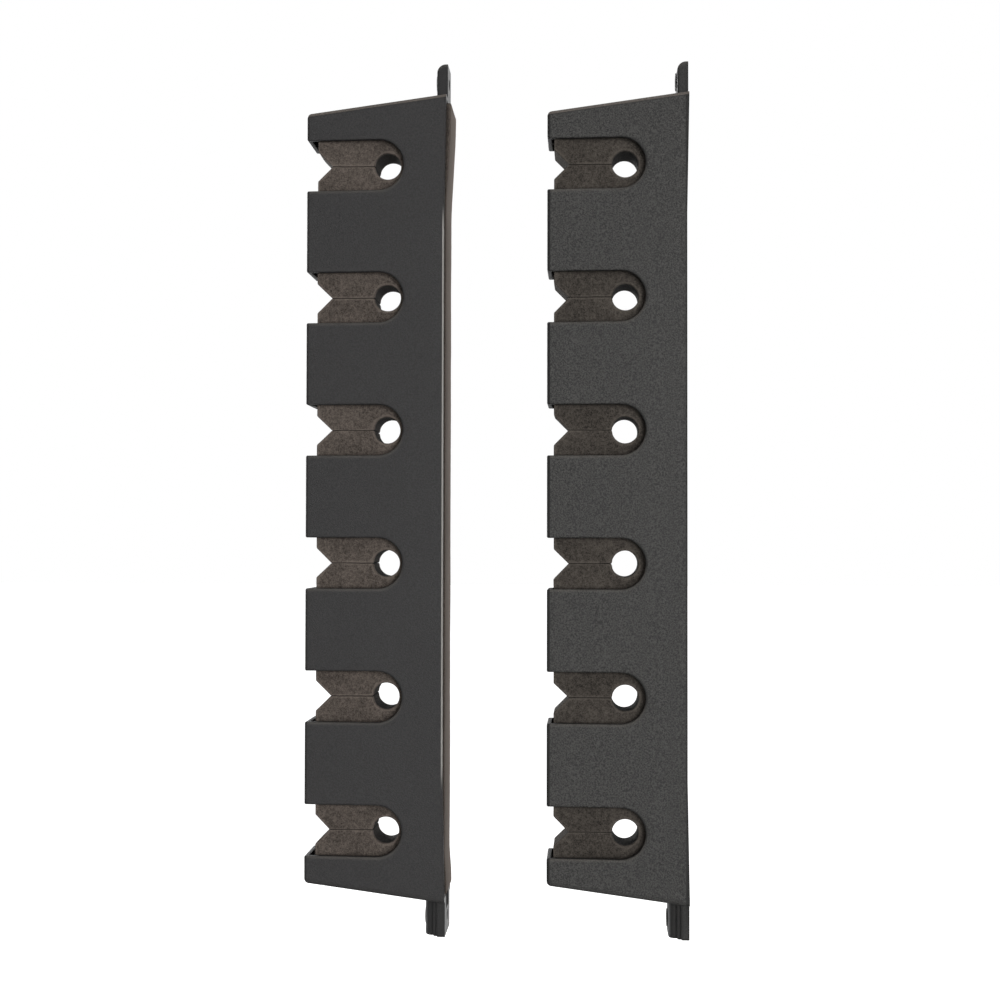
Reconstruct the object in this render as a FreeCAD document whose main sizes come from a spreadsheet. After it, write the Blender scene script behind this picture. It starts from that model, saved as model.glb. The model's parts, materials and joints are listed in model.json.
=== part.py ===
"""A pair of wall racks, each with six slots that grip long thin handles.

Each rack is one moulded housing, open at the wall side, and one foam strip inside it.
In a rack's own coordinates X = 0 is the wall plane and the slots open towards -X,
Y runs through the rack's thickness, and Z is up, with Z = 0 at mid height.
"""
import FreeCAD, Part
import os
import re

import Sketcher

V = FreeCAD.Vector

# Driving dimensions, in millimetres and degrees.
DIMENSIONS = {
    # housing
    "body_depth": 72.0,          # front wall to wall plane
    "body_height": 411.0,        # at the wall plane
    "end_slope": 6.9,            # how far each end wall leans in towards the front
    "front_thick": 30.0,         # outer thickness at the front wall
    "rear_thick": 38.0,          # outer thickness at the wall plane
    "skin": 2.2,                 # moulded wall thickness
    "nose_round": 2.5,           # front corners, seen from the side
    "edge_round": 0.9,           # long outer edges
    "lip_round": 0.8,            # edges of the slots, all the way round
    "relief_deep": 1.1,          # side plates stand back this far from the wall plane
    "relief_run": 60.0,          # and return to it over this height at each end
    # slots
    "slot_count": 6,
    "slot_pitch": 68.0,
    "slot_tall": 26.0,
    "slot_deep": 50.0,
    # ears
    "ear_reach": 223.5,          # end of an ear from mid height
    "ear_root": 203.5,           # an ear starts here, inside the end wall
    "screw_reach": 215.0,        # screw hole from mid height
    "screw_dia": 5.5,
    "collar_dia": 9.0,
    "collar_rise": 0.6,
    "top_wide": 18.6,
    "top_deep": 5.6,
    "top_round": 4.5,
    "flange_wide": 30.0,
    "flange_deep": 4.2,
    "step_wide": 26.0,
    "step_deep": 6.1,
    "boss_wide": 21.0,
    "boss_deep": 10.4,
    "boss_round": 3.5,
    "core_wide": 14.0,           # hollow up the back of the lower ear
    "core_deep": 3.0,
    "core_reach": 210.8,
    "corner_round": 1.0,
    # foam strip, measured from its own back face
    "foam_thick": 24.4,
    "foam_height": 403.4,        # at its back
    "foam_deep": 66.8,
    "notch_tall": 15.2,
    "notch_deep": 7.6,
    "slit_wide": 0.6,
    "grip_dia": 13.5,
    "grip_reach": 30.5,          # centre of a gripping hole
    # the pair
    "rack_spacing": 123.5,       # from one wall plane to the other
    "left_foam_gap": 0.0,        # how far each strip's back sits inside the wall plane
    "right_foam_gap": 1.8,
}

# Dimensions worked out from the driving ones.
DERIVED = {
    "slope": "tan(end_slope * 1deg)",
    "front_height": "body_height - 2 * body_depth * slope",
    "cavity_rear_tall": "body_height - 2 * skin",
    "slot_radius": "slot_tall / 2",
    "slot_centre": "body_depth - slot_deep + slot_radius",
    "first_slot": "-slot_pitch * (slot_count - 1) / 2",
    "slot_span": "slot_pitch * (slot_count - 1)",
    "slit_half": "slit_wide / 2",
    "notch_end": "foam_deep - notch_deep",
}

BEYOND = 5.0                     # how far a cutting shape runs past what it cuts
NEAR = 0.01                      # tolerance for picking edges

doc = FreeCAD.newDocument("WallRackPair")
sheet = doc.addObject("Spreadsheet::Sheet", "Dimensions")


def fill_sheet():
    row = 0
    for alias, value in DIMENSIONS.items():
        row += 1
        sheet.set(f"A{row}", alias)
        sheet.set(f"B{row}", str(value))
        sheet.setAlias(f"B{row}", alias)
    for alias, formula in DERIVED.items():
        row += 1
        sheet.set(f"A{row}", alias)
        sheet.set(f"B{row}", "=" + formula)
        sheet.setAlias(f"B{row}", alias)
    doc.recompute()


fill_sheet()


def size(alias):
    """A sheet cell's value as a plain number."""
    return float(getattr(sheet, alias))


def from_sheet(formula):
    """The same formula as an object outside the sheet writes it."""
    words = re.split(r"(\w+)", formula)
    known = {*DIMENSIONS, *DERIVED}
    return "".join("Dimensions." + word if word in known else word for word in words)


# --- sketches ---------------------------------------------------------------------------


def plane_sketch(body, name, role, offset=None):
    """A sketch on one of the body's own origin planes, moved along the plane's normal."""
    planes = body.Origin.OriginFeatures
    plane = next(item for item in planes if item.Role == role)
    sketch = body.newObject("Sketcher::SketchObject", name)
    sketch.AttachmentSupport = (plane, [""])
    sketch.MapMode = "FlatFace"
    if offset is not None:
        sketch.setExpression("AttachmentOffset.Base.z", from_sheet(offset))
    return sketch


def bind(sketch, kind, formula, *place):
    """Add one dimension to the sketch and drive it from the sheet."""
    start = abs(float(sheet.evalExpression(formula)))
    index = sketch.addConstraint(Sketcher.Constraint(kind, *place, start))
    sketch.setExpression(f"Constraints[{index}]", from_sheet(formula))


def put_point(sketch, line, end, across, up):
    """Hold one end of a line at a place given by two formulas; '0' keeps it on the axis."""
    for kind, formula, axis in (("DistanceX", across, -2), ("DistanceY", up, -1)):
        value = float(sheet.evalExpression(formula))
        if abs(value) < NEAR:
            sketch.addConstraint(Sketcher.Constraint("PointOnObject", line, end, axis))
        elif value > 0:
            bind(sketch, kind, formula, -1, 1, line, end)
        else:
            bind(sketch, kind, f"-({formula})", line, end, -1, 1)


def polygon(sketch, corners):
    """A closed outline through corners given as pairs of formulas."""
    places = [V(*(float(sheet.evalExpression(text)) for text in corner), 0) for corner in corners]
    count = len(corners)
    lines = []
    for number in range(count):
        segment = Part.LineSegment(places[number], places[(number + 1) % count])
        lines.append(sketch.addGeometry(segment, False))
    for number in range(count):
        joint = (lines[number], 2, lines[(number + 1) % count], 1)
        sketch.addConstraint(Sketcher.Constraint("Coincident", *joint))
    for line, corner in zip(lines, corners):
        put_point(sketch, line, 1, *corner)
    return lines


def circle(sketch, diameter, across, up):
    """A circle whose centre is given by two formulas."""
    centre = V(float(sheet.evalExpression(across)), float(sheet.evalExpression(up)), 0)
    ring = sketch.addGeometry(Part.Circle(centre, V(0, 0, 1), size(diameter) / 2), False)
    bind(sketch, "Diameter", diameter, ring)
    put_point(sketch, ring, 3, across, up)


# --- features ---------------------------------------------------------------------------


def pad(body, name, sketch, length, backwards=False):
    feature = body.newObject("PartDesign::Pad", name)
    feature.Profile = sketch
    feature.setExpression("Length", from_sheet(length))
    feature.Reversed = backwards
    doc.recompute()
    return feature


def cut_through(body, name, sketch):
    """Cut both ways from the sketch, right through."""
    feature = body.newObject("PartDesign::Pocket", name)
    feature.Profile = sketch
    feature.Type = "ThroughAll"
    feature.SideType = "Symmetric"
    doc.recompute()
    return feature


def cut_in(body, name, sketch, depth):
    """Cut from the wall plane towards the front."""
    feature = body.newObject("PartDesign::Pocket", name)
    feature.Profile = sketch
    feature.setExpression("Length", from_sheet(depth))
    doc.recompute()
    return feature


def repeat_up(body, name, feature, span):
    """Repeat a cut at every slot, up the rack."""
    pattern = body.newObject("PartDesign::LinearPattern", name)
    pattern.Originals = [feature]
    axis = next(item for item in body.Origin.OriginFeatures if item.Role == "Z_Axis")
    pattern.Direction = (axis, [""])
    pattern.setExpression("Length", from_sheet(span))
    pattern.setExpression("Occurrences", from_sheet("slot_count"))
    body.Tip = pattern
    doc.recompute()
    return pattern


def round_edges(body, name, radius, wanted):
    """Round every edge of the body so far that passes the test."""
    base = body.Tip
    edges = [f"Edge{number}" for number, edge in enumerate(base.Shape.Edges, 1) if wanted(edge)]
    feature = body.newObject("PartDesign::Fillet", name)
    feature.Base = (base, edges)
    feature.setExpression("Radius", from_sheet(radius))
    body.Tip = feature
    doc.recompute()
    return feature


def must_change(before, feature, grows):
    """A pad has to add material and a cut has to take some away."""
    change = feature.Shape.Volume - before
    if (change > 0) != grows or abs(change) < 1:
        raise RuntimeError(f"{feature.Label} changed the volume by {change:.2f}")


def runs_along(edge, axis):
    """True for a straight edge within a few degrees of an axis."""
    if len(edge.Vertexes) < 2:
        return False
    way = edge.Vertexes[1].Point - edge.Vertexes[0].Point
    straight = abs(edge.Length - way.Length) < NEAR
    return straight and abs(way.normalize().dot(axis)) > 0.99


# --- housing ----------------------------------------------------------------------------


def side_block(body):
    """The housing's solid envelope: a side outline, tapered in thickness to the front."""
    side = plane_sketch(body, "SideOutline", "XZ_Plane")
    polygon(side, [
        ("-body_depth", "-front_height / 2"),
        ("0", "-body_height / 2"),
        ("0", "body_height / 2"),
        ("-body_depth", "front_height / 2"),
    ])
    block = body.newObject("PartDesign::Pad", "Block")
    block.Profile = side
    block.SideType = "Symmetric"
    block.setExpression("Length", from_sheet("rear_thick"))
    doc.recompute()
    for name, sign in (("Near", "-"), ("Far", "")):
        before = body.Tip.Shape.Volume
        plan = plane_sketch(body, name + "TaperOutline", "XY_Plane")
        polygon(plan, [
            ("0", f"{sign}rear_thick / 2"),
            ("-body_depth", f"{sign}front_thick / 2"),
            ("-body_depth", f"{sign}(rear_thick / 2 + {BEYOND})"),
            ("0", f"{sign}(rear_thick / 2 + {BEYOND})"),
        ])
        taper = cut_through(body, name + "Taper", plan)
        must_change(before, taper, grows=False)


def hollow_out(body):
    """Open the wall side and leave one even skin."""
    base = body.Tip
    before = base.Shape.Volume
    faces = enumerate(base.Shape.Faces, 1)
    open_side = [f"Face{number}" for number, face in faces if abs(face.CenterOfMass.x) < NEAR]
    shell = body.newObject("PartDesign::Thickness", "Shell")
    shell.Base = (base, open_side)
    shell.setExpression("Value", from_sheet("skin"))
    shell.Join = "Intersection"
    shell.Reversed = True
    body.Tip = shell
    doc.recompute()
    must_change(before, shell, grows=False)


def round_outside(body):
    front_x = -size("body_depth")
    outside = size("front_thick") / 2 - NEAR

    def is_nose(edge):
        middle = edge.CenterOfMass
        return runs_along(edge, V(0, 1, 0)) and middle.x < front_x + NEAR

    def is_long_edge(edge):
        middle = edge.CenterOfMass
        return abs(middle.y) > outside and middle.x < -1

    round_edges(body, "NoseRound", "nose_round", is_nose)
    round_edges(body, "EdgeRound", "edge_round", is_long_edge)


def cut_slots(body):
    """A slot is a rectangle from beyond the front that ends in a half circle."""
    before = body.Tip.Shape.Volume
    sketch = plane_sketch(body, "SlotOutline", "XZ_Plane")
    height = size("first_slot")
    radius = size("slot_radius")
    centre = V(-size("slot_centre"), height, 0)
    mouth = -size("body_depth") - BEYOND
    top = V(0, radius, 0)
    ends = [V(mouth, height, 0) + top, centre + top, centre - top, V(mouth, height, 0) - top]
    upper = sketch.addGeometry(Part.LineSegment(ends[0], ends[1]), False)
    arc = Part.Arc(ends[2], centre + V(radius, 0, 0), ends[1])
    inner = sketch.addGeometry(arc, False)
    lower = sketch.addGeometry(Part.LineSegment(ends[2], ends[3]), False)
    closing = sketch.addGeometry(Part.LineSegment(ends[3], ends[0]), False)
    for joint in ((upper, 2, inner, 2), (inner, 1, lower, 1)):
        sketch.addConstraint(Sketcher.Constraint("Tangent", *joint))
    for joint in ((lower, 2, closing, 1), (closing, 2, upper, 1)):
        sketch.addConstraint(Sketcher.Constraint("Coincident", *joint))
    sketch.addConstraint(Sketcher.Constraint("Horizontal", upper))
    sketch.addConstraint(Sketcher.Constraint("Vertical", closing))
    bind(sketch, "Radius", "slot_radius", inner)
    put_point(sketch, inner, 3, "-slot_centre", "first_slot")
    bind(sketch, "DistanceX", f"body_depth + {BEYOND}", closing, 1, -1, 1)
    slot = cut_through(body, "Slot", sketch)
    slots = repeat_up(body, "Slots", slot, "slot_span")
    must_change(before, slots, grows=False)

    front_x = -size("body_depth")
    last_mouth = (size("slot_span") + size("slot_tall")) / 2 + NEAR

    def is_mouth(edge):
        middle = edge.CenterOfMass
        at_front = abs(middle.x - front_x) < NEAR and abs(middle.z) < last_mouth
        return at_front and runs_along(edge, V(0, 1, 0))

    # The slot's side edges run on smoothly from its mouth, so they are rounded with it.
    round_edges(body, "LipRound", "lip_round", is_mouth)


def relieve_side_plates(body):
    """The side plates stand back from the wall plane between the end walls."""
    before = body.Tip.Shape.Volume
    sketch = plane_sketch(body, "ReliefOutline", "XZ_Plane")
    polygon(sketch, [
        ("0", "-cavity_rear_tall / 2"),
        ("-relief_deep", "relief_run - cavity_rear_tall / 2"),
        ("-relief_deep", "cavity_rear_tall / 2 - relief_run"),
        ("0", "cavity_rear_tall / 2"),
    ])
    relief = cut_through(body, "Relief", sketch)
    must_change(before, relief, grows=False)


def top_ear(body):
    before = body.Tip.Shape.Volume
    sketch = plane_sketch(body, "TopEarPlan", "XY_Plane", "ear_root")
    half = "top_wide / 2"
    corners = [("-top_deep", f"-({half})"), ("0", f"-({half})"), ("0", half), ("-top_deep", half)]
    polygon(sketch, corners)
    ear = pad(body, "TopEar", sketch, "ear_reach - ear_root")
    must_change(before, ear, grows=True)
    reach = size("ear_reach")
    front_x = -size("top_deep")

    def is_front_top(edge):
        middle = edge.CenterOfMass
        return abs(middle.z - reach) < NEAR and abs(middle.x - front_x) < NEAR

    def is_side_corner(edge):
        middle = edge.CenterOfMass
        at_top = abs(middle.z - reach) < NEAR and middle.x < -NEAR
        upright = runs_along(edge, V(0, 0, 1)) and middle.z > size("screw_reach") - BEYOND
        return middle.x < -NEAR and abs(middle.y) > 1 and (at_top or upright)

    round_edges(body, "TopEarNose", "top_round", is_front_top)
    round_edges(body, "TopEarCorners", "corner_round", is_side_corner)


def lower_ear(body):
    """A wide flange at the wall with a step and a rounded boss in front of it."""
    before = body.Tip.Shape.Volume
    sketch = plane_sketch(body, "LowerEarPlan", "XY_Plane", "-ear_reach")
    near_side = [
        ("0", "-flange_wide / 2"),
        ("-flange_deep", "-flange_wide / 2"),
        ("-flange_deep", "-step_wide / 2"),
        ("-step_deep", "-step_wide / 2"),
        ("-step_deep", "-boss_wide / 2"),
        ("-boss_deep", "-boss_wide / 2"),
    ]
    far_side = [(across, up[1:]) for across, up in reversed(near_side)]
    polygon(sketch, near_side + far_side)
    ear = pad(body, "LowerEar", sketch, "ear_reach - ear_root")
    must_change(before, ear, grows=True)
    end = -size("ear_reach")
    front_x = -size("boss_deep")

    def is_boss_corner(edge):
        middle = edge.CenterOfMass
        return runs_along(edge, V(0, 0, 1)) and middle.z < 0 and abs(middle.x - front_x) < NEAR

    def is_end_outline(edge):
        middle = edge.CenterOfMass
        return abs(middle.z - end) < NEAR and middle.x < -NEAR

    round_edges(body, "BossRound", "boss_round", is_boss_corner)
    round_edges(body, "LowerEarCorners", "corner_round", is_end_outline)

    before = body.Tip.Shape.Volume
    core = plane_sketch(body, "CoreOutline", "YZ_Plane")
    half = "core_wide / 2"
    top = "-cavity_rear_tall / 2 + skin"
    low = "-core_reach"
    polygon(core, [(f"-{half}", low), (half, low), (half, top), (f"-{half}", top)])
    hollow = cut_in(body, "EarCore", core, "core_deep")
    must_change(before, hollow, grows=False)


def screw_holes(body):
    """Each ear has a raised collar in front and one plain hole through it."""
    for name, deep, reach in (("Top", "top_deep", "screw_reach"), ("Lower", "boss_deep", "-screw_reach")):
        before = body.Tip.Shape.Volume
        sketch = plane_sketch(body, name + "CollarOutline", "YZ_Plane", f"-{deep}")
        circle(sketch, "collar_dia", "0", reach)
        collar = pad(body, name + "Collar", sketch, "collar_rise", backwards=True)
        must_change(before, collar, grows=True)
    before = body.Tip.Shape.Volume
    sketch = plane_sketch(body, "ScrewOutline", "YZ_Plane")
    circle(sketch, "screw_dia", "0", "screw_reach")
    circle(sketch, "screw_dia", "0", "-screw_reach")
    holes = cut_in(body, "ScrewHoles", sketch, f"boss_deep + {BEYOND}")
    must_change(before, holes, grows=False)


def make_housing(label):
    body = doc.addObject("PartDesign::Body", label.title().replace("_", ""))
    body.Label = label
    side_block(body)
    hollow_out(body)
    round_outside(body)
    cut_slots(body)
    relieve_side_plates(body)
    top_ear(body)
    lower_ear(body)
    screw_holes(body)
    return body


# --- foam strip -------------------------------------------------------------------------


def foam_block(body):
    """The strip's ends lean in like the housing's end walls."""
    sketch = plane_sketch(body, "StripOutline", "XZ_Plane")
    front_half = "foam_height / 2 - foam_deep * slope"
    polygon(sketch, [
        ("-foam_deep", f"-({front_half})"),
        ("0", "-foam_height / 2"),
        ("0", "foam_height / 2"),
        ("-foam_deep", front_half),
    ])
    strip = body.newObject("PartDesign::Pad", "Strip")
    strip.Profile = sketch
    strip.SideType = "Symmetric"
    strip.setExpression("Length", from_sheet("foam_thick"))
    doc.recompute()


def foam_cuts(body):
    """At each slot a V mouth leads through a thin slit to a round hole."""
    mouth = plane_sketch(body, "NotchOutline", "XZ_Plane")
    polygon(mouth, [
        ("-foam_deep", "first_slot - notch_tall / 2"),
        ("-notch_end", "first_slot - slit_half"),
        ("-grip_reach", "first_slot - slit_half"),
        ("-grip_reach", "first_slot + slit_half"),
        ("-notch_end", "first_slot + slit_half"),
        ("-foam_deep", "first_slot + notch_tall / 2"),
    ])
    grip = plane_sketch(body, "GripOutline", "XZ_Plane")
    circle(grip, "grip_dia", "-grip_reach", "first_slot")
    for name, sketch in (("Notch", mouth), ("Grip", grip)):
        before = body.Tip.Shape.Volume
        cut = cut_through(body, name, sketch)
        pattern = repeat_up(body, name + "s", cut, "slot_span")
        must_change(before, pattern, grows=False)


def make_foam_strip(label):
    body = doc.addObject("PartDesign::Body", label.title().replace("_", ""))
    body.Label = label
    foam_block(body)
    foam_cuts(body)
    return body


# --- the pair ---------------------------------------------------------------------------


def wall_plane(side):
    """Where a rack's wall plane lies, with the pair centred on the origin."""
    sign = {"left": "-", "right": "+"}[side]
    return f"body_depth / 2 {sign} rack_spacing / 2"


def make_rack(side):
    housing = make_housing(f"{side}_housing")
    housing.setExpression("Placement.Base.x", from_sheet(wall_plane(side)))
    strip = make_foam_strip(f"{side}_foam_strip")
    strip.setExpression("Placement.Base.x", from_sheet(f"{wall_plane(side)} - {side}_foam_gap"))
    return [housing, strip]


def check_document():
    for item in doc.Objects:
        if {"Invalid", "Error"} & set(item.State):
            raise RuntimeError(f"{item.Label} failed: {item.State}")


def export(bodies):
    os.makedirs("parts", exist_ok=True)
    for body in bodies:
        shape = body.Shape
        if shape.isNull() or not shape.isValid() or len(shape.Solids) != 1:
            raise RuntimeError(f"{body.Label} isn't one valid solid")
        box = shape.optimalBoundingBox()
        print(f"{body.Label}: volume {shape.Volume:.0f}, "
              f"x {box.XMin:.2f} {box.XMax:.2f}, y {box.YMin:.2f} {box.YMax:.2f}, "
              f"z {box.ZMin:.2f} {box.ZMax:.2f}")
        shape.exportStep(f"parts/{body.Label}.step")


racks = make_rack("left") + make_rack("right")
doc.recompute()
check_document()
export(racks)
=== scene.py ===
"""Looks of the wall rack pair: moulded plastic housings and soft foam strips round the CAD frame."""
import json
import math
import random

import bpy
import numpy as np
from mathutils import Matrix, Vector, noise
from mathutils.geometry import delaunay_2d_cdt


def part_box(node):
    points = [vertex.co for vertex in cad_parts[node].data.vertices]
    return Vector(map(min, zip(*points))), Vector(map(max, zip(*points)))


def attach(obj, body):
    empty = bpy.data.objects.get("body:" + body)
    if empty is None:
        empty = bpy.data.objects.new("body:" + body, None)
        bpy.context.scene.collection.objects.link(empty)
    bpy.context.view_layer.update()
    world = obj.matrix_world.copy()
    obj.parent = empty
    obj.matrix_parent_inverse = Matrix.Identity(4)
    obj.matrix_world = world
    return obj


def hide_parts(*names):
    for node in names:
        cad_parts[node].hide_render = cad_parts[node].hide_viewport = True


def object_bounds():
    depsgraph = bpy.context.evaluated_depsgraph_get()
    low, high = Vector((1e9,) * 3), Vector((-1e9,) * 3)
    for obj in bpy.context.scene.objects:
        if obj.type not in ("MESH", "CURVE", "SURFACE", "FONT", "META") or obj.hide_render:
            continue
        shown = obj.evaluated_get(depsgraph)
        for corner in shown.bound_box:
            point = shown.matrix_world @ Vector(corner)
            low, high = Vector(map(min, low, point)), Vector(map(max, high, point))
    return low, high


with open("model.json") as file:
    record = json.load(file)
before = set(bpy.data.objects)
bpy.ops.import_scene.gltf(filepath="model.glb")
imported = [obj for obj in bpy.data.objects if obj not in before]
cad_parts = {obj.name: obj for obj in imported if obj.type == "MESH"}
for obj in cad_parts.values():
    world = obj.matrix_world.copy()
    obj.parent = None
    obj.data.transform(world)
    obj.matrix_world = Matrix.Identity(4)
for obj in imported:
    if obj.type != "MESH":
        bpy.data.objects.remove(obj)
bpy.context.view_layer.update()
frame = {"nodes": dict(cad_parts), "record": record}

MM = 0.001
SIDES = ("left", "right")
FIRST_SEED = 11                  # the left strip's seed; the right strip has the next one


# --- camera -----------------------------------------------------------------------------

EYE = Vector((0.0474, -0.8800, -0.0223))
TARGET = Vector((0.0011, 0.0, -0.0014))
ROLL = 0.0019                    # radians, clockwise in the picture
FOCAL = 1703.0 / 1000.0          # focal length over picture width
SENSOR = 36.0
SEES_TO = 50.0                   # metres


def make_camera():
    data = bpy.data.cameras.new("camera")
    data.sensor_width = SENSOR
    data.lens = SENSOR * FOCAL
    data.clip_end = SEES_TO
    camera = bpy.data.objects.new("camera", data)
    bpy.context.collection.objects.link(camera)
    camera.location = EYE
    turn = (TARGET - EYE).to_track_quat("-Z", "Y").to_matrix().to_4x4()
    camera.rotation_euler = (turn @ Matrix.Rotation(ROLL, 4, "Z")).to_euler()
    bpy.context.scene.camera = camera


# --- node helpers -----------------------------------------------------------------------

SHADER_SAMPLES = 8               # rays of each bevel and shelter node


class Nodes:
    """A short way to write a node tree. Values are plain numbers, colours or other nodes' sockets."""

    def __init__(self, owner):
        owner.use_nodes = True
        self.tree = owner.node_tree
        self.tree.nodes.clear()

    def add(self, kind, settings=None, **inputs):
        """A new node. Its inputs go by name, with _ for a space, or by number as n0, n1 and so on."""
        node = self.tree.nodes.new(kind)
        for name, value in (settings or {}).items():
            setattr(node, name, value)
        for name, value in inputs.items():
            numbered = name[0] == "n" and name[1:].isdigit()
            socket = node.inputs[int(name[1:]) if numbered else name.replace("_", " ")]
            if isinstance(value, bpy.types.NodeSocket):
                self.tree.links.new(value, socket)
            else:
                socket.default_value = value
        return node

    def math(self, operation, a, b=0.0):
        return self.add("ShaderNodeMath", {"operation": operation}, n0=a, n1=b).outputs[0]

    def plus(self, a, b):
        return self.math("ADD", a, b)

    def minus(self, a, b):
        return self.math("SUBTRACT", a, b)

    def times(self, a, b):
        return self.math("MULTIPLY", a, b)

    def absolute(self, a):
        return self.math("ABSOLUTE", a)

    def ramp(self, value, low, high, to_low=0.0, to_high=1.0):
        """Map low..high to to_low..to_high, smoothly and held at the ends."""
        node = self.add("ShaderNodeMapRange", {"interpolation_type": "SMOOTHSTEP"}, Value=value,
                        From_Min=low, From_Max=high, To_Min=to_low, To_Max=to_high)
        return node.outputs["Result"]

    def blend(self, amount, under, over):
        """Go from under, a colour or a socket, to the colour over."""
        if isinstance(under, tuple):
            under = (*under, 1.0)
        node = self.add("ShaderNodeMix", {"data_type": "RGBA", "clamp_factor": True},
                        n0=amount, n6=under, n7=(*over, 1.0))
        return node.outputs[2]

    def bevel(self, radius):
        """The normal as if every edge had this radius."""
        return self.add("ShaderNodeBevel", {"samples": SHADER_SAMPLES}, Radius=radius).outputs[0]

    def split(self, vector):
        return self.add("ShaderNodeSeparateXYZ", Vector=vector).outputs

    def shelter(self, distance):
        """1 in the open, towards 0 in corners and recesses of about this size."""
        node = self.add("ShaderNodeAmbientOcclusion", {"samples": SHADER_SAMPLES}, Distance=distance)
        return node.outputs["AO"]

    def grain(self, where, scale, detail=2.0, rough=0.5, stretch=None):
        """Fractal noise; scale is in cells per metre."""
        if stretch is not None:
            where = self.add("ShaderNodeMapping", Vector=where, Scale=stretch).outputs[0]
        node = self.add("ShaderNodeTexNoise", Vector=where, Scale=scale, Detail=detail, Roughness=rough)
        return node.outputs[0]

    def mark(self, name):
        """The value of a mesh's own mark."""
        return self.add("ShaderNodeAttribute", {"attribute_name": name}).outputs["Fac"]

    def surface(self, **inputs):
        """Finish a material with a shader that has these inputs."""
        shader = self.add("ShaderNodeBsdfPrincipled", **inputs)
        self.add("ShaderNodeOutputMaterial", Surface=shader.outputs[0])


def scaled(colour, factor):
    return tuple(c * factor for c in colour)


# --- sizes and marks shared by looks and shapes -----------------------------------------

END_SLOPE = math.tan(math.radians(6.9))  # housing and strip ends lean in towards the front
NOTCH_HALF = 7.6 * MM
NOTCH_DEEP = 7.6 * MM
HOLE_RADIUS = 6.75 * MM
CUT_EDGE = "cut_edge"            # the foam meshes' mark along their cut edges
BORE = "bore"                    # their mark on the walls of their round holes


def grips(side):
    """(x, z) of each gripping hole of a strip, from the top down."""
    openings = frame["record"]["physics"]["openings"]
    boxes = [o["box_m"] for o in openings if o["name"].startswith(side + "_grip_")]
    centres = [((low[0] + high[0]) / 2, (low[2] + high[2]) / 2) for low, high in boxes]
    return sorted(centres, key=lambda c: -c[1])


# --- the housings' plastic --------------------------------------------------------------

# by side: tone, speckle, how far painted shade darkens edges that face sideways, and painted lines up the
# side plates' front (-1) and rear (1) edges, as (which edge, width, reach above and below the middle, tone):
# painted shade, and on the left's rear edge a painted highlight
# both housings are one plastic: the left's darker tone and fainter speckle make a painted shaded copy, and
# the right's lighter tone and stronger speckle a painted lit copy, its speckle standing in for light raking
# across the pebbling
PLASTICS = {
    "left": ((0.0295, 0.0285, 0.0288), 0.38, 0.25, (
        (-1, 1.2 * MM, 0.220, (0.0150, 0.0140, 0.0140)),
        (1, 1.8 * MM, 0.150, (0.34, 0.33, 0.31)),
    )),
    "right": ((0.0395, 0.0385, 0.0365), 0.92, 0.60, (
        (-1, 1.5 * MM, 0.220, (0.0050, 0.0048, 0.0045)),
        (1, 1.8 * MM, 0.220, (0.0100, 0.0095, 0.0090)),
    )),
}
# painted lines along the plates' sloped ends, a shade line at both ends and nearer the end a highlight at
# the top end: (begins this far in, share at the top, share at the foot, tone)
END_SHADE_AND_HIGHLIGHT_LINES = (
    (2.1 * MM, 0.50, 0.35, (0.0140, 0.0125, 0.0115)),
    (1.4 * MM, 0.75, 0.00, (0.1350, 0.1150, 0.1000)),
)
# the ears' narrow front faces, with painted shade at the top and a painted highlight at the foot: (1 at the
# top or -1 at the foot, tone)
EAR_FRONT_SHADE_AND_LIGHT = ((1, (0.0070, 0.0065, 0.0065)), (-1, (0.1500, 0.1500, 0.1550)))
# the painted highlight on edges that face up
UPWARD_HIGHLIGHT_TONE = (0.15, 0.135, 0.118)
PAINTED_SHADE_SHARE = 0.20                # painted shade on the ears, on edges that face sideways and in sheltered places darkens to this share of the tone
LIP_SHADE_SHARE = 0.15                 # and painted shade on the slots' lips to this
HALF_LENGTH = 205.5 * MM         # from the middle to a housing's end at the wall
EAR_FROM = 206.0 * MM            # the ears stand beyond this height
LIPS_TO = 193.0 * MM             # every slot lip is within this height
LIP_FRONT, LIP_REAR = 2.8 * MM, 3.0 * MM  # the lips' painted shade keeps this far from the front and rear edges


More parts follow.
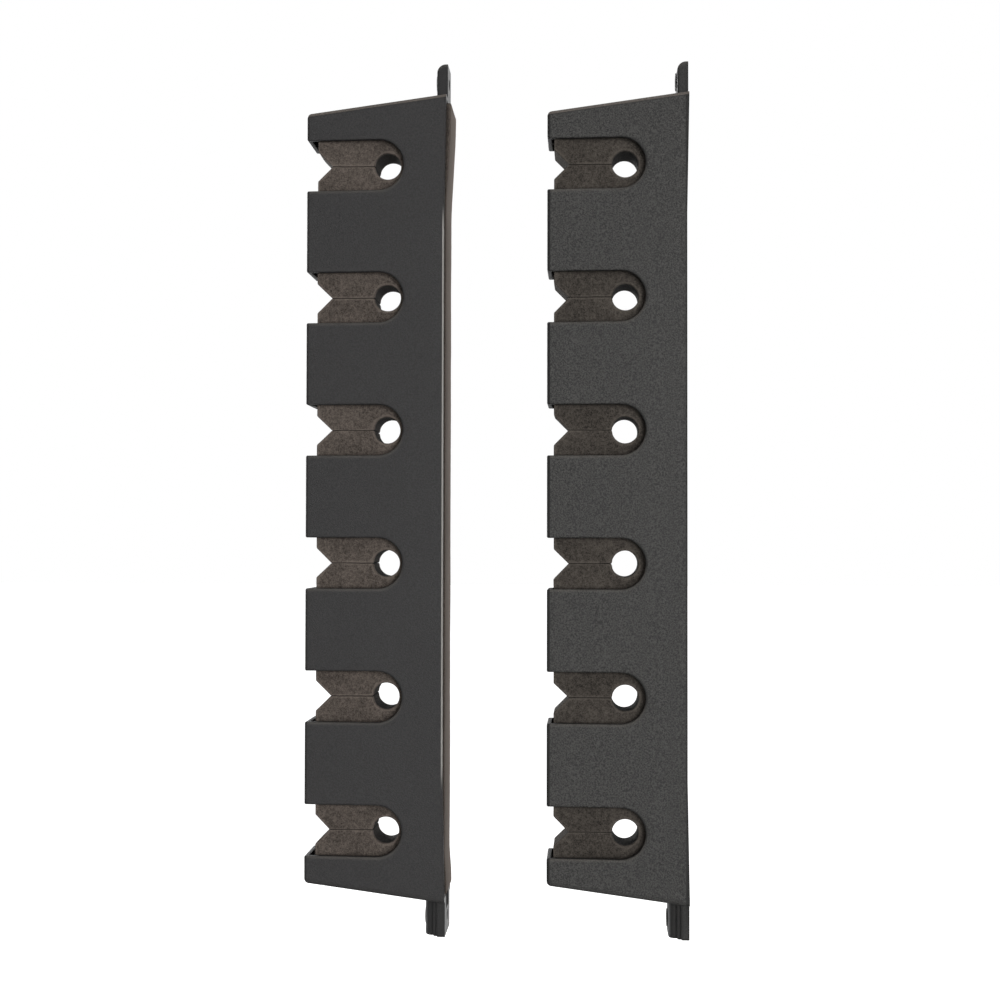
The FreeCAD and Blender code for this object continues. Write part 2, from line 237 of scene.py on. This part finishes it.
def moulded_plastic(side, tone, speckle, sideways_edge_shade, lines):
    """Matte plastic from a spark-eroded mould, smoother on the wall side.

    It is pebbled and a little cloudy, with a painted highlight on edges that face up, painted shade on the
    ears, on edges that face sideways, on the slots' lips and in sheltered places, and painted lines of light
    and shade along the plates.
    """
    low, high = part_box(side + "_housing")
    material = bpy.data.materials.new("housing_" + side + "_plastic")
    n = Nodes(material)
    where = n.add("ShaderNodeTexCoord").outputs["Object"]
    pebble = n.grain(where, 1300.0, 2.0, 0.65)
    fine = n.grain(where, 2600.0, 1.0, 0.5)
    cloud = n.grain(where, 38.0, 3.0, 0.55)
    flow = n.grain(where, 9.0, 2.0, 0.5, (1.0, 1.0, 0.25))
    shade = n.plus(n.times(n.ramp(pebble, 0.36, 0.64), 0.70), n.times(n.ramp(fine, 0.35, 0.65), 0.14))
    shade = n.plus(shade, n.times(n.ramp(cloud, 0.3, 0.7), 0.08))
    shade = n.plus(shade, n.times(n.ramp(flow, 0.3, 0.7), 0.08))
    colour = n.blend(shade, scaled(tone, 1.0 - speckle), scaled(tone, 1.0 + speckle))
    dark = scaled(tone, PAINTED_SHADE_SHARE)

    place = n.split(where)
    far_up = n.absolute(place["Z"])
    # painted shade on the ears beyond the housing's ends
    colour = n.blend(n.ramp(far_up, EAR_FROM - 1.0 * MM, EAR_FROM, 0.0, 0.52), colour, dark)

    # edges: where the normal of a rounded edge turns aside, but the face's own doesn't; painted shade goes
    # on edges that face sideways and a painted highlight on edges that face up
    true = n.split(n.add("ShaderNodeNewGeometry").outputs["True Normal"])
    rounded = n.split(n.bevel(2.5 * MM))
    sideways = n.times(n.ramp(n.absolute(rounded["X"]), 0.05, 0.30), sideways_edge_shade)
    beside = n.ramp(n.absolute(true["X"]), 0.90, 0.97, 1.0, 0.0)
    colour = n.blend(n.times(sideways, beside), colour, dark)
    # painted highlight on rounded edges that face up, patchy with the cloud
    upward = n.times(n.ramp(rounded["Z"], 0.03, 0.22), n.ramp(true["Z"], 0.90, 0.97, 1.0, 0.0))
    upward_highlight = n.times(upward, n.ramp(cloud, 0.25, 0.75, 0.18, 0.36))
    colour = n.blend(upward_highlight, colour, UPWARD_HIGHLIGHT_TONE)

    # painted lines up the plates' front and rear edges: painted shade, or a painted highlight on the left's
    # rear edge
    for way, width, reach, painted_line_tone in lines:
        begins = (low.x if way < 0 else high.x) - way * width
        beyond = n.ramp(n.times(n.minus(place["X"], begins), way), -0.2 * MM, 0.1 * MM)
        line = n.times(beyond, n.ramp(far_up, reach - 15.0 * MM, reach, 1.0, 0.0))
        colour = n.blend(line, colour, painted_line_tone)
    on_plate = n.ramp(n.absolute(true["Y"]), 0.30, 0.60)
    # painted lines along the plates' sloped ends: shade at both ends, and a highlight at the top end
    end = n.plus(far_up, n.times(n.minus(high.x, place["X"]), END_SLOPE))
    for inset, top_share, foot_share, end_tone in END_SHADE_AND_HIGHLIGHT_LINES:
        begins = HALF_LENGTH - inset
        band = n.times(n.ramp(end, begins - 0.2 * MM, begins + 0.1 * MM), on_plate)
        band = n.times(band, n.ramp(end, HALF_LENGTH + 0.2 * MM, HALF_LENGTH + 0.4 * MM, 1.0, 0.0))
        share = n.times(band, n.ramp(place["Z"], -10.0 * MM, 10.0 * MM, foot_share, top_share))
        colour = n.blend(share, colour, end_tone)

    # painted shade on the top ears' front faces and a painted highlight on the foot ears'
    ear_front = n.times(n.ramp(true["X"], -0.9, -0.6, 1.0, 0.0),
                        n.ramp(far_up, EAR_FROM - 1.0 * MM, EAR_FROM, 0.0, 0.85))
    for way, front_tone in EAR_FRONT_SHADE_AND_LIGHT:
        at_end = n.ramp(n.times(place["Z"], way), -10.0 * MM, 10.0 * MM)
        colour = n.blend(n.times(ear_front, at_end), colour, front_tone)

    # painted shade on the slots' lips, which keeps clear of the front and rear edges
    between = n.times(n.ramp(place["X"], low.x + LIP_FRONT, low.x + LIP_FRONT + 0.4 * MM),
                      n.ramp(place["X"], high.x - LIP_REAR, high.x - LIP_REAR + 0.5 * MM, 1.0, 0.0))
    lip = n.times(between, n.ramp(far_up, LIPS_TO, LIPS_TO + 1.0 * MM, 1.0, 0.0))
    lip = n.times(lip, n.minus(1.0, on_plate))
    colour = n.blend(n.times(lip, 0.85), colour, scaled(tone, LIP_SHADE_SHARE))
    # painted shade in corners and recesses
    colour = n.blend(n.ramp(n.shelter(6.0 * MM), 0.35, 0.75, 0.80, 0.0), colour, dark)

    wall_side = n.ramp(true["X"], 0.90, 0.99)
    rough = n.plus(n.ramp(pebble, 0.3, 0.7, 0.54, 0.70), n.ramp(cloud, 0.3, 0.7, -0.03, 0.03))
    rough = n.minus(rough, n.times(wall_side, 0.22))
    height = n.plus(n.times(pebble, 0.7), n.times(fine, 0.3))
    strength = n.minus(0.9, n.times(wall_side, 0.5))
    bump = n.add("ShaderNodeBump", Strength=strength, Distance=0.3 * MM, Height=height,
                 Normal=n.bevel(1.3 * MM))
    n.surface(Base_Color=colour, Roughness=rough, Normal=bump.outputs[0], IOR=1.43)
    return material


def dress_housing(side):
    housing = frame["nodes"][side + "_housing"]
    housing.data.materials.clear()
    housing.data.materials.append(moulded_plastic(side, *PLASTICS[side]))


# --- the strips' foam -------------------------------------------------------------------

# by side: tone, and how strongly the cells and patches vary it; the left's lighter tone is a painted lit
# copy and the right's darker tone a painted shaded copy of the same foam
FOAMS = {
    "left": ((0.0860, 0.0715, 0.0615), 0.85),
    "right": ((0.0555, 0.0483, 0.0415), 0.95),
}
PAINTED_LIGHT_SHARE = 2.1                 # painted highlights on the cut edges' rims and painted light on the back face go towards this many times the tone
SLIT_SHARE = 0.20                # the drawn slits darken to this share of the tone
DEEP_SHADE_SHARE = 0.10                # and painted shade on hole walls and in sheltered places to this
SLIT_WANDER = 0.6 * MM           # how far a drawn slit strays, from one side to the other


def cell_foam(side, tone, contrast):
    """Closed-cell foam: small open cells, slight patches, a painted highlight along its cut edges and
    painted light on its back face.

    The slits are thin dark lines that wander a little, and hole walls and sheltered places get painted
    shade.
    """
    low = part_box(side + "_foam_strip")[0]
    holes = grips(side)
    material = bpy.data.materials.new("foam_" + side + "_cells")
    n = Nodes(material)
    coordinates = n.add("ShaderNodeTexCoord")
    where = coordinates.outputs["Object"]
    warp = n.add("ShaderNodeTexNoise", Vector=where, Scale=900.0, Detail=1.0)
    bent = n.add("ShaderNodeVectorMath", {"operation": "MULTIPLY_ADD"}, n0=warp.outputs[1],
                 n1=(0.4 * MM, 0.4 * MM, 0.4 * MM), n2=where)
    cells, small = (n.add("ShaderNodeTexVoronoi", {"feature": "F1"}, Vector=bent.outputs[0], Scale=scale)
                    for scale in (1300.0, 2600.0))
    patch = n.grain(where, 55.0, 4.0, 0.6)
    dust = n.grain(where, 700.0, 3.0, 0.65)
    wall = n.plus(n.times(n.ramp(cells.outputs["Distance"], 0.15, 0.75), 0.6),
                  n.times(n.ramp(small.outputs["Distance"], 0.15, 0.75), 0.4))
    shade = n.plus(n.times(wall, 0.45), n.times(n.ramp(dust, 0.3, 0.7), 0.35))
    shade = n.plus(shade, n.times(n.ramp(patch, 0.3, 0.7), 0.20))
    colour = n.blend(shade, scaled(tone, 1.0 - contrast), scaled(tone, 1.0 + contrast))
    # painted highlight along the rounded rims of the cut edges
    cut_edge_highlight = n.ramp(n.plus(n.mark(CUT_EDGE), n.times(dust, 0.3)), 0.70, 1.05, 0.0, 0.50)
    colour = n.blend(cut_edge_highlight, colour, scaled(tone, PAINTED_LIGHT_SHARE))

    # each slit lies level with its hole, and the holes are evenly spaced, so one folded height draws all
    place = n.split(where)
    (hole_x, top_z), (_, next_z) = holes[:2]
    wander = n.times(n.minus(n.grain(where, 120.0), 0.5), SLIT_WANDER)
    height = n.plus(n.minus(place["Z"], top_z), wander)
    off_slit = n.math("PINGPONG", height, (top_z - next_z) / 2)
    apex = low.x + NOTCH_DEEP
    slit = n.times(n.ramp(off_slit, 0.12 * MM, 0.42 * MM, 0.80, 0.0),
                   n.ramp(place["X"], apex - 0.6 * MM, apex))
    slit = n.times(slit, n.ramp(place["X"], hole_x - HOLE_RADIUS, hole_x, 1.0, 0.0))
    colour = n.blend(slit, colour, scaled(tone, SLIT_SHARE))

    # painted light on the back face, the side towards the wall
    back_face_light = n.ramp(n.split(coordinates.outputs["Normal"])["X"], 0.75, 0.97)
    colour = n.blend(n.times(back_face_light, 0.9), colour, scaled(tone, PAINTED_LIGHT_SHARE))
    deep_shade = scaled(tone, DEEP_SHADE_SHARE)
    # painted shade on the hole walls and in corners and recesses
    colour = n.blend(n.ramp(n.mark(BORE), 0.10, 0.90, 0.0, 0.80), colour, deep_shade)
    colour = n.blend(n.ramp(n.shelter(8.0 * MM), 0.26, 0.76, 0.92, 0.0), colour, deep_shade)
    bump = n.add("ShaderNodeBump", Strength=0.6, Distance=0.25 * MM, Height=wall)
    n.surface(Base_Color=colour, Roughness=0.92, Normal=bump.outputs[0], Specular_IOR_Level=0.12,
              Sheen_Weight=0.03, Sheen_Roughness=0.5)
    return material


# --- the strips' shape ------------------------------------------------------------------

END_ROUND, FRONT_ROUND = 1.2 * MM, 1.5 * MM  # outline corners at the wall and at the front
NOTCH_ROUND, APEX_ROUND, MOUTH_ROUND = 1.3 * MM, 0.9 * MM, 1.0 * MM  # a notch's, and a slit's two ends
CORNER_STEPS = 5
NOTCH_VARIES, APEX_VARIES, HEIGHT_VARIES = 0.3, 0.25, 0.15  # mm, from slot to slot
SLIT_HALF = 0.03 * MM
SLIT_RIM = 0.12                  # the closed slit keeps this share of the rounding
HOLE_STEPS = 44
HOLE_GAP = math.radians(20)      # the round hole's even steps begin this far from its slit
RIM = 0.4 * MM                   # rounding of every cut edge
RIM_STEPS = 4
BODY_STEPS = 6
LONGEST_RUN = 2.0 * MM
FILL_STEP = 3.0 * MM
FILL_VARIES = 0.4                # mm
FILL_CLEAR = 1.3 * MM            # the fill keeps this far from the outline
WAVES = ((45.0, 0.14 * MM), (260.0, 0.05 * MM))  # unevenness: (waves per metre, how far it moves a point)
BACK_DEPTH = 16 * MM             # the back that flares and swells
FLARE = 0.30                     # the loose back edges spread by this share of their half thickness
# where a strip's back swells past the wall plane: (starts at z, full at z, how far)
BULGES = {
    "left": ((0.143, 0.199, 2.4 * MM), (-0.180, -0.200, 1.0 * MM)),
    "right": (),
}


def strip_corners(low, high, holes, rng):
    """The strip's outline from the side as (x, z, corner radius), running down its front."""
    lean = (high.x - low.x) * END_SLOPE
    entry = math.asin(SLIT_HALF / HOLE_RADIUS)
    sweep = 2 * math.pi - 2 * HOLE_GAP
    angles = [math.pi - entry]
    angles += [math.pi - HOLE_GAP - sweep * k / HOLE_STEPS for k in range(HOLE_STEPS + 1)]
    angles.append(entry - math.pi)
    points = [(high.x, low.z, END_ROUND), (high.x, high.z, END_ROUND), (low.x, high.z - lean, FRONT_ROUND)]
    for hole_x, middle in holes:
        middle += rng.uniform(-HEIGHT_VARIES, HEIGHT_VARIES) * MM
        apex = low.x + NOTCH_DEEP + rng.uniform(-APEX_VARIES, APEX_VARIES) * MM
        above = NOTCH_HALF + rng.uniform(-NOTCH_VARIES, NOTCH_VARIES) * MM
        below = NOTCH_HALF + rng.uniform(-NOTCH_VARIES, NOTCH_VARIES) * MM
        points.append((low.x, middle + above, NOTCH_ROUND))
        points.append((apex, middle + SLIT_HALF, APEX_ROUND))
        for angle in angles:
            radius = MOUTH_ROUND if angle in (angles[0], angles[-1]) else 0.0
            points.append((hole_x + HOLE_RADIUS * math.cos(angle),
                           middle + HOLE_RADIUS * math.sin(angle), radius))
        points.append((apex, middle - SLIT_HALF, APEX_ROUND))
        points.append((low.x, middle - below, NOTCH_ROUND))
    points.append((low.x, low.z + lean, FRONT_ROUND))
    return points


def round_corners(corners):
    """Replace each corner that has a radius with a short curve."""
    outline = []
    count = len(corners)
    for i, (x, z, radius) in enumerate(corners):
        here = Vector((x, z))
        if radius == 0.0:
            outline.append(here)
            continue
        before = Vector(corners[i - 1][:2]) - here
        after = Vector(corners[(i + 1) % count][:2]) - here
        half = before.angle(after) / 2
        reach = min(radius / math.tan(half), 0.45 * before.length, 0.45 * after.length)
        start, end = here + before.normalized() * reach, here + after.normalized() * reach
        for k in range(CORNER_STEPS + 1):
            t = k / CORNER_STEPS
            outline.append(start * (1 - t) ** 2 + here * 2 * t * (1 - t) + end * t * t)
    return outline


def resample(outline):
    """Divide every run that is longer than LONGEST_RUN."""
    points = []
    for a, b in zip(outline, outline[1:] + outline[:1]):
        pieces = max(1, math.ceil((b - a).length / LONGEST_RUN))
        points += [a.lerp(b, k / pieces) for k in range(pieces)]
    return points


def inward(outline):
    """The outline as an array, and unit steps into the foam at its points, longer at corners."""
    p = np.array([tuple(v) for v in outline])
    ahead = np.roll(p, -1, 0) - p
    ahead /= np.linalg.norm(ahead, axis=1)[:, None]
    behind = np.roll(ahead, 1, 0)
    area = 0.5 * np.sum(p[:, 0] * np.roll(p[:, 1], -1) - np.roll(p[:, 0], -1) * p[:, 1])
    turn = 1.0 if area > 0 else -1.0
    n1 = np.stack([-ahead[:, 1], ahead[:, 0]], 1) * turn
    n0 = np.stack([-behind[:, 1], behind[:, 0]], 1) * turn
    n = n0 + n1
    n /= np.linalg.norm(n, axis=1)[:, None]
    stretch = np.clip(1.0 / np.maximum((n * n1).sum(1), 0.5), 1.0, 1.6)
    return p, n * stretch[:, None]


def inside(loop, x, z):
    """Whether a point lies inside the outline."""
    x0, z0 = loop[:, 0], loop[:, 1]
    x1, z1 = np.roll(x0, -1), np.roll(z0, -1)
    crosses = (z0 > z) != (z1 > z)
    at = x0 + (z - z0) / np.where(z1 == z0, 1.0, z1 - z0) * (x1 - x0)
    return bool((crosses & (x < at)).sum() % 2)


def fill_points(loop, rng):
    """Scattered points inside the outline, clear of it, for an even fill."""
    low, high = loop.min(0), loop.max(0)
    found = []
    rows = int((high[1] - low[1]) / FILL_STEP)
    columns = int((high[0] - low[0]) / FILL_STEP)
    for i in range(rows + 1):
        for j in range(columns + 1):
            x = low[0] + (j + 0.5 * (i % 2)) * FILL_STEP + rng.uniform(-FILL_VARIES, FILL_VARIES) * MM
            z = low[1] + i * FILL_STEP + rng.uniform(-FILL_VARIES, FILL_VARIES) * MM
            if inside(loop, x, z) and np.hypot(loop[:, 0] - x, loop[:, 1] - z).min() > FILL_CLEAR:
                found.append((x, z))
    return found


def strip_mesh(name, low, high, holes, seed):
    """The outline swept through the strip's thickness with rounded rims, and filled on both sides."""
    rng = random.Random(seed)
    base, step = inward(resample(round_corners(strip_corners(low, high, holes, rng))))
    count = len(base)
    rounding = np.ones((count, 1))
    in_hole = np.zeros(count)
    for hole_x, hole_z in holes:
        level = (np.abs(base[:, 1] - hole_z) < 0.4 * MM) & (base[:, 0] > low.x + NOTCH_DEEP - 1 * MM)
        rounding[level & (base[:, 0] < hole_x - 0.9 * HOLE_RADIUS)] = SLIT_RIM
        off_centre = np.hypot(base[:, 0] - hole_x, base[:, 1] - hole_z)
        in_hole[off_centre < HOLE_RADIUS + 0.3 * MM] = 1.0

    half = (high.y - low.y) / 2
    middle = (high.y + low.y) / 2
    bends = [math.pi / 2 * k / RIM_STEPS for k in range(RIM_STEPS + 1)]
    front = [(-(half - RIM + RIM * math.sin(a)), RIM * (1 - math.cos(a))) for a in reversed(bends)]
    body = [(-(half - RIM) * (1 - 2 * k / BODY_STEPS), 0.0) for k in range(1, BODY_STEPS)]
    levels = front + body + [(-y, inset) for y, inset in reversed(front)]
    vertices = []
    for y, inset in levels:
        vertices += [(x, middle + y, z) for x, z in base + step * inset * rounding]
    faces = []
    for a in range(0, (len(levels) - 1) * count, count):
        for i in range(count):
            j = (i + 1) % count
            faces.append((a + i, a + j, a + count + j, a + count + i))

    cap = base + step * RIM * rounding
    filler = fill_points(cap, rng)
    points = [Vector(p) / MM for p in [*cap, *filler]]
    edges = [(i, (i + 1) % count) for i in range(count)]
    _, _, triangles, origins, _, _ = delaunay_2d_cdt(points, edges, [], 1, 1e-6)
    first = len(vertices)
    for y in (levels[0][0], levels[-1][0]):
        vertices += [(x, middle + y, z) for x, z in filler]
    last_ring = (len(levels) - 1) * count
    for triangle in triangles:
        ids = [origins[v][0] for v in triangle]
        near = [i if i < count else first + i - count for i in ids]
        far = [last_ring + i if i < count else first + len(filler) + i - count for i in ids]
        faces.append(near)
        faces.append(far[::-1])

    mesh = bpy.data.meshes.new(name)
    mesh.from_pydata(vertices, [], faces)
    mesh.validate()
    rims = [abs(y) > half - RIM for y, _ in levels for _ in range(count)]
    walls = np.concatenate([in_hole * (abs(y) < half - RIM - 1e-6) for y, _ in levels])
    for mark, values in ((CUT_EDGE, rims), (BORE, walls)):
        attribute = mesh.attributes.new(mark, "FLOAT", "POINT")
        attribute.data.foreach_set("value", [float(v) for v in values] + [0.0] * (len(vertices) - first))
    return mesh


def smooth(t):
    """0 up to 1, held and level at both ends."""
    t = np.clip(t, 0.0, 1.0)
    return t * t * (3 - 2 * t)


def soften(mesh, high, seed, bulges):
    """Move the foam's surface a little, as cut and squeezed foam is never quite flat."""
    noise.seed_set(seed)
    place = np.empty(len(mesh.vertices) * 3)
    mesh.vertices.foreach_get("co", place)
    place = place.reshape(-1, 3)
    shift = Vector((seed * 0.37, seed * 0.11, seed * 0.53))
    for i, (x, y, z) in enumerate(place):
        p = Vector((x, y, z))
        wide, tight = (noise.noise_vector(p * scale + shift) * amount for scale, amount in WAVES)
        place[i] += wide + tight
    rear = smooth((place[:, 0] - (high.x - BACK_DEPTH)) / BACK_DEPTH)
    place[:, 1] *= 1.0 + FLARE * rear
    for start, full, proud in bulges:
        place[:, 0] += proud * smooth((place[:, 2] - start) / (full - start)) * rear
    mesh.vertices.foreach_set("co", place.ravel())
    mesh.update()


def flow_normals(mesh):
    """Smooth shading in which large faces count for more, so that flat sides stay flat up to their rims."""
    total = np.zeros((len(mesh.vertices), 3))
    for polygon in mesh.polygons:
        polygon.use_smooth = True
        total[list(polygon.vertices)] += np.array(polygon.normal) * polygon.area
    total /= np.linalg.norm(total, axis=1)[:, None]
    mesh.normals_split_custom_set_from_vertices(total.tolist())


def make_strip(side, seed):
    node = side + "_foam_strip"
    low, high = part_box(node)
    mesh = strip_mesh(side + "_foam", low, high, grips(side), seed)
    soften(mesh, high, seed, BULGES[side])
    flow_normals(mesh)
    mesh.materials.append(cell_foam(side, *FOAMS[side]))
    strip = bpy.data.objects.new(side + "_foam", mesh)
    bpy.context.collection.objects.link(strip)
    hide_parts(node)
    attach(strip, side + "_rack")


# --- studio -----------------------------------------------------------------------------

# the studio's brightness at the front and the back, as fill light and in gloss
FILL_FRONT, FILL_BACK = 0.16, 0.12
GLOSS_FRONT, GLOSS_BACK = 0.25, 1.0
FLOOR_HALF, FLOOR_DROP = 20.0, 0.35  # half the floor's width, and how far below the racks it lies
FLOOR_GLOW = 1.05
# name, place, aim, width and height, watts
LIGHTS = (
    ("left_softbox", (-0.9, -1.7, -0.02), (-0.06, 0.0, -0.02), (0.6, 1.2), 5.0),
    ("right_softbox", (0.6, -1.7, -0.02), (0.06, 0.0, -0.02), (0.6, 1.2), 22.5),
    ("top_softbox", (0.0, -0.45, 1.80), (0.0, 0.0, 0.0), (1.2, 0.8), 5.0),
    ("low_left_fill", (-1.40, -0.50, -0.90), (0.0, 0.0, 0.0), (0.8, 0.8), 16.0),
    ("rear_left_softbox", (-1.10, 1.50, 0.50), (0.0, 0.0, 0.0), (0.6, 1.2), 22.0),
    ("rear_right_softbox", (1.60, 0.60, 0.40), (0.0, 0.0, 0.0), (0.6, 1.2), 14.0),
)


def make_world():
    """A white studio: bright as a background and in gloss from behind, dimmer as fill light."""
    world = bpy.data.worlds.new("studio")
    bpy.context.scene.world = world
    n = Nodes(world)
    path = n.add("ShaderNodeLightPath").outputs
    towards = n.split(n.add("ShaderNodeTexCoord").outputs["Generated"])["Y"]
    gloss = n.times(path["Is Glossy Ray"], n.ramp(towards, -0.1, 0.35, GLOSS_FRONT, GLOSS_BACK))
    front = n.ramp(towards, -0.6, 0.3, FILL_FRONT, FILL_BACK)
    fill = n.times(n.minus(1.0, path["Is Glossy Ray"]), front)
    strength = n.math("MAXIMUM", n.plus(gloss, fill), path["Is Camera Ray"])
    light = n.add("ShaderNodeBackground", Color=(1.0, 1.0, 1.0, 1.0), Strength=strength)
    n.add("ShaderNodeOutputWorld", Surface=light.outputs[0])


def area_light(name, place, aim, size, power):
    data = bpy.data.lights.new(name, "AREA")
    data.shape = "RECTANGLE"
    data.size, data.size_y = size
    data.energy = power
    light = bpy.data.objects.new(name, data)
    light.location = place
    light.rotation_euler = (Vector(aim) - Vector(place)).to_track_quat("-Z", "Y").to_euler()
    bpy.context.collection.objects.link(light)


def make_floor():
    material = bpy.data.materials.new("floor_pale")
    n = Nodes(material)
    where = n.add("ShaderNodeTexCoord").outputs["Object"]
    colour = n.blend(n.grain(where, 3.0), (0.80, 0.80, 0.79), (0.84, 0.84, 0.83))
    n.surface(Base_Color=colour, Roughness=0.9, Emission_Color=(1.0, 1.0, 1.0, 1.0),
              Emission_Strength=FLOOR_GLOW)
    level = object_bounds()[0].z - FLOOR_DROP
    corners = [(x * FLOOR_HALF, y * FLOOR_HALF, level) for x, y in ((-1, -1), (1, -1), (1, 1), (-1, 1))]
    mesh = bpy.data.meshes.new("floor")
    mesh.from_pydata(corners, [], [(0, 1, 2, 3)])
    mesh.materials.append(material)
    floor = bpy.data.objects.new("floor", mesh)
    bpy.context.collection.objects.link(floor)
    floor.visible_diffuse = floor.visible_glossy = False


make_camera()
for number, side in enumerate(SIDES):
    dress_housing(side)
    make_strip(side, seed=FIRST_SEED + number)
make_world()
make_floor()
for light in LIGHTS:
    area_light(*light)
bpy.context.scene.view_settings.view_transform = "Standard"
